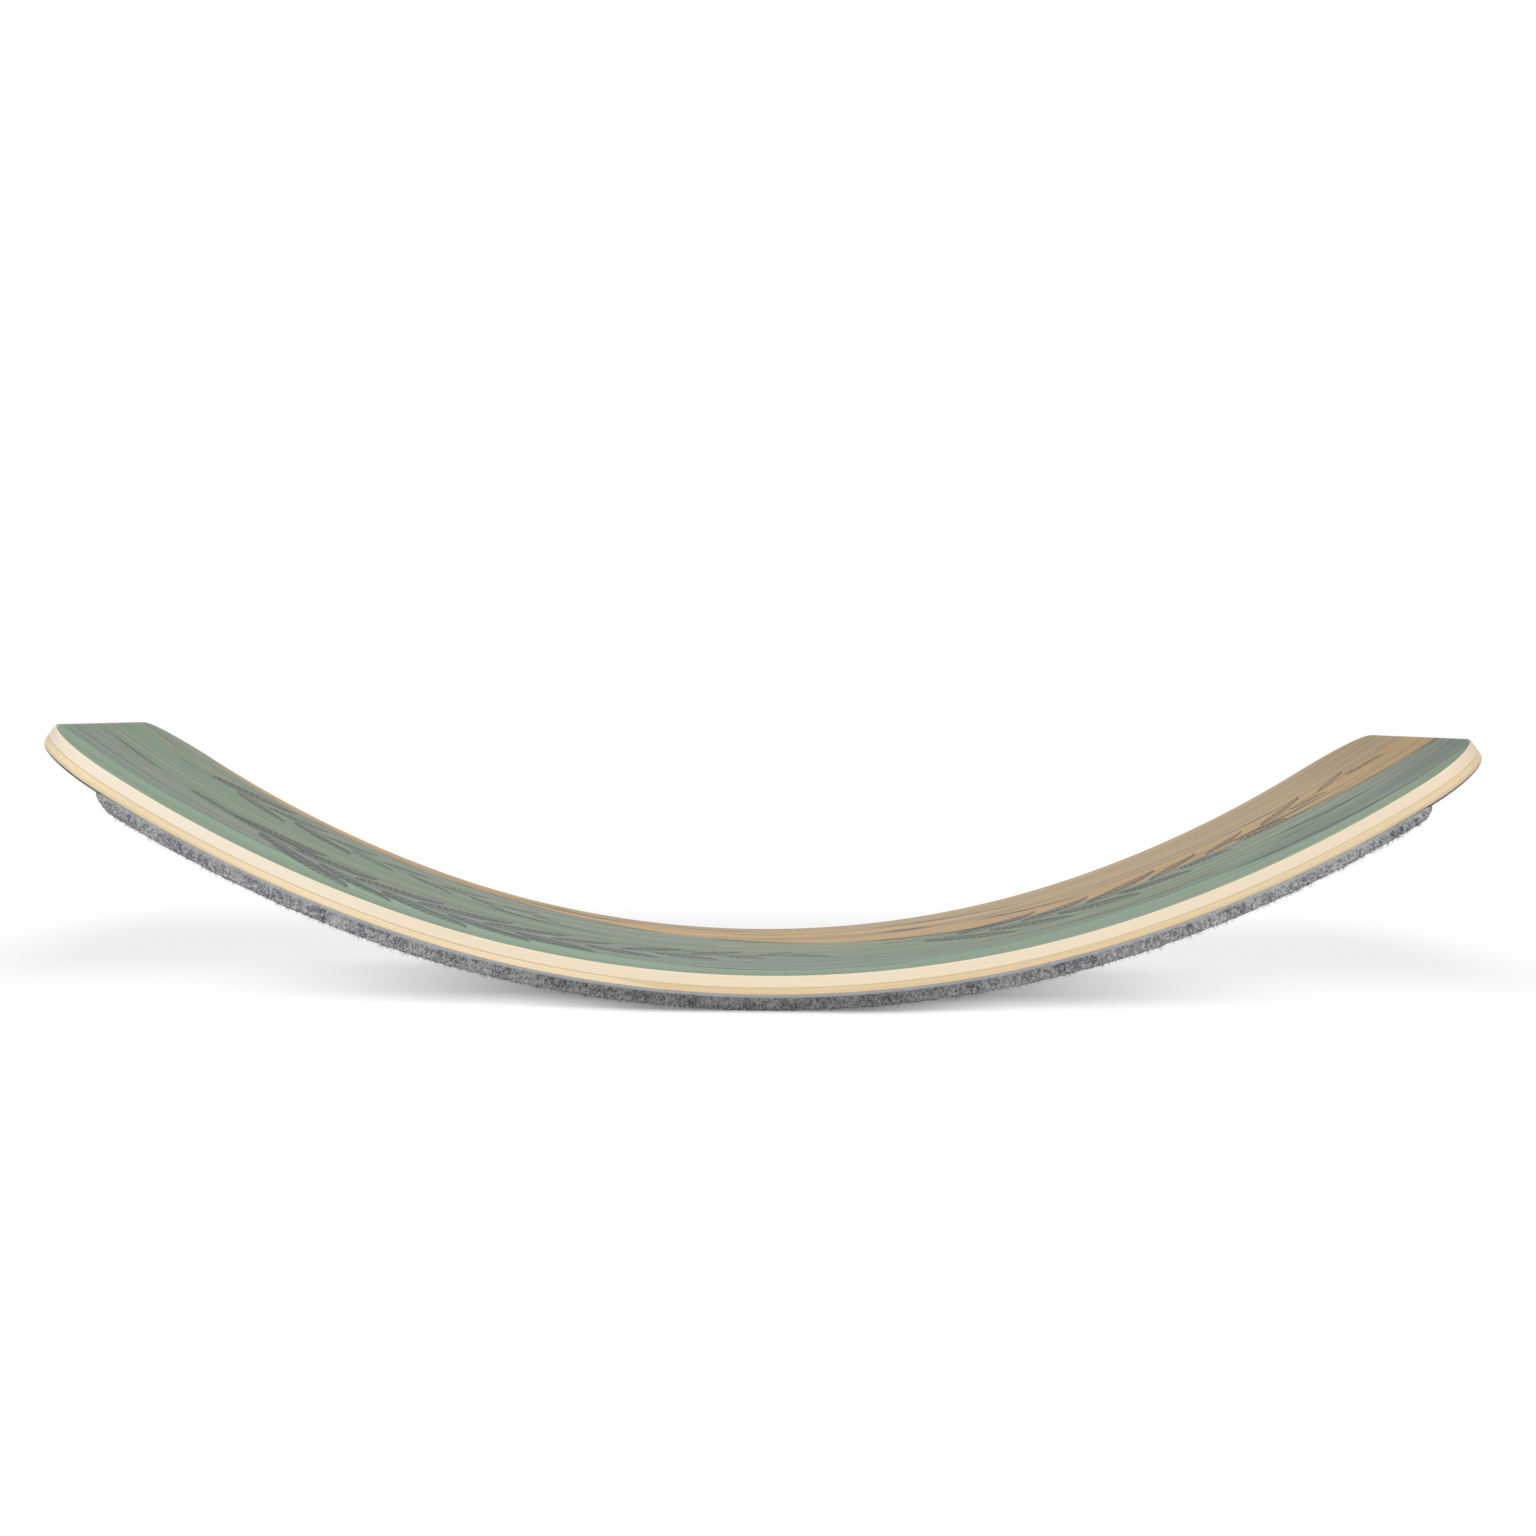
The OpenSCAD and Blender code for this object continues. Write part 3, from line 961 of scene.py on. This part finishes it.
def floorMaterial():
    material = bpy.data.materials.new("studioFloor")
    tree = emptyTree(material)
    parts = addNode(tree, "SeparateXYZ")
    feed(tree, parts.inputs[0], objectPlace(tree))
    across = parts.outputs["Y"]
    far = calc(tree, "ABSOLUTE", parts.outputs["X"])
    aside = calc(tree, "ABSOLUTE", across)
    # where the cast shadow shows, and the shade painted where the felt bears
    shadow = spread(tree, far, *studio["shadowReach"])
    shadow = calc(tree, "MULTIPLY", shadow, spread(tree, aside, *studio["shadowSides"]))
    plain = calc(tree, "SUBTRACT", 1.0, shadow)
    out = calc(tree, "SUBTRACT", aside, halfWidth)
    dark = spread(tree, far, *studio["contactHalf"])
    dark = calc(tree, "MULTIPLY", dark, spread(tree, out, *studio["contactReach"]))
    unshaded = calc(tree, "SUBTRACT", 1.0, dark)
    # a faint shadow painted under the raised ends
    wide = spread(tree, far, *studio["wideReach"])
    for reach in ("wideFront", "wideBack"):
        wide = calc(tree, "MULTIPLY", wide, spread(tree, across, *studio[reach]))
    # to the eye, a bright floor that fades to plain white
    rays = addNode(tree, "LightPath").outputs
    seen = whiteForSight(tree, rays)
    shown = calc(tree, "MULTIPLY", unshaded, studio["floorSeen"])
    shown = spread(tree, seen, 0.0, 1.0, studio["floorPale"], shown)
    diffuse = addNode(tree, "BsdfDiffuse")
    tree.links.new(grey(tree, shown), diffuse.inputs["Color"])
    glow = addNode(tree, "Emission")
    feed(tree, glow.inputs["Strength"], calc(tree, "SUBTRACT", 1.0, wide))
    whiteShare = calc(tree, "MULTIPLY", calc(tree, "MULTIPLY", plain, unshaded), seen)
    surface = mixShaders(tree, whiteShare, diffuse.outputs[0], glow.outputs[0])
    # seen from below, the floor is clear to the eye and to the light that follows
    back = addNode(tree, "NewGeometry").outputs["Backfacing"]
    below = calc(tree, "MULTIPLY", back, rays["Is Camera Ray"])
    below = calc(tree, "MAXIMUM", below, calc(tree, "GREATER_THAN", rays["Transparent Depth"], 0.5))
    surface = mixShaders(tree, below, surface, addNode(tree, "BsdfTransparent").outputs[0])
    tree.links.new(surface, addNode(tree, "OutputMaterial").inputs["Surface"])
    return material


def makeFloor():
    bm = bmesh.new()
    bmesh.ops.create_grid(bm, x_segments=1, y_segments=1, size=studio["floorHalf"])
    floor = linked("floor", meshFrom(bm, "floor", [floorMaterial()]))


def makeSky():
    world = bpy.data.worlds.new("softRoom")
    tree = emptyTree(world)
    parts = addNode(tree, "SeparateXYZ")
    feed(tree, parts.inputs[0], addNode(tree, "TexCoord").outputs["Generated"])
    aside = calc(tree, "ABSOLUTE", parts.outputs["X"])
    strength = studio["skyStrength"]
    level = spread(tree, aside, *studio["sideSky"], strength, (1.0 - studio["sideShade"]) * strength)
    seen = whiteForSight(tree, addNode(tree, "LightPath").outputs)
    sky = addNode(tree, "Background")
    sky.inputs["Color"].default_value = (1.0, 1.0, 1.0, 1.0)
    feed(tree, sky.inputs["Strength"], spread(tree, seen, 0.0, 1.0, level, 1.0))
    tree.links.new(sky.outputs[0], addNode(tree, "OutputWorld").inputs["Surface"])
    bpy.context.scene.world = world


def makeLamps():
    for name, (place, size, power, gleams) in studio["lamps"].items():
        light = bpy.data.lights.new(name, "AREA")
        light.shape = "RECTANGLE"
        light.size, light.size_y = size
        light.energy = power
        lamp = linked(name, light)
        lamp.location = place
        lamp.visible_glossy = gleams
        aim = Vector(studio["lampAim"]) - lamp.location
        lamp.rotation_euler = aim.to_track_quat("-Z", "Y").to_euler()


photoView = {
    "focalPixels": 2580.0,
    "imagePixels": 1536.0,
    "sensor": 36.0,
    "place": (-0.02737, -1.54765, 0.14493),  # above the lowest point of the top face
    "yaw": math.radians(1.1261),
    "pitch": math.radians(1.3083),
    "roll": math.radians(0.6154),
}


def makeCamera():
    data = bpy.data.cameras.new("photoCamera")
    data.sensor_width = photoView["sensor"]
    data.lens = photoView["sensor"] * photoView["focalPixels"] / photoView["imagePixels"]
    yaw, pitch, roll = photoView["yaw"], photoView["pitch"], photoView["roll"]
    levelPart = math.cos(pitch)
    forward = Vector((math.sin(yaw) * levelPart, math.cos(yaw) * levelPart, -math.sin(pitch)))
    level = Vector((math.cos(yaw), -math.sin(yaw), 0.0))
    upright = level.cross(forward)
    right = level * math.cos(roll) + upright * math.sin(roll)
    up = upright * math.cos(roll) - level * math.sin(roll)
    camera = linked("photoCamera", data)
    turned = Matrix((right, up, -forward)).transposed().to_4x4()
    place = Vector(photoView["place"]) + Vector((0, 0, boardDepth))
    camera.matrix_world = Matrix.Translation(place) @ turned
    bpy.context.scene.camera = camera


makeFloor()
makeSky()
makeLamps()
makeCamera()
bpy.context.scene.view_settings.view_transform = "Standard"
print("studio set")
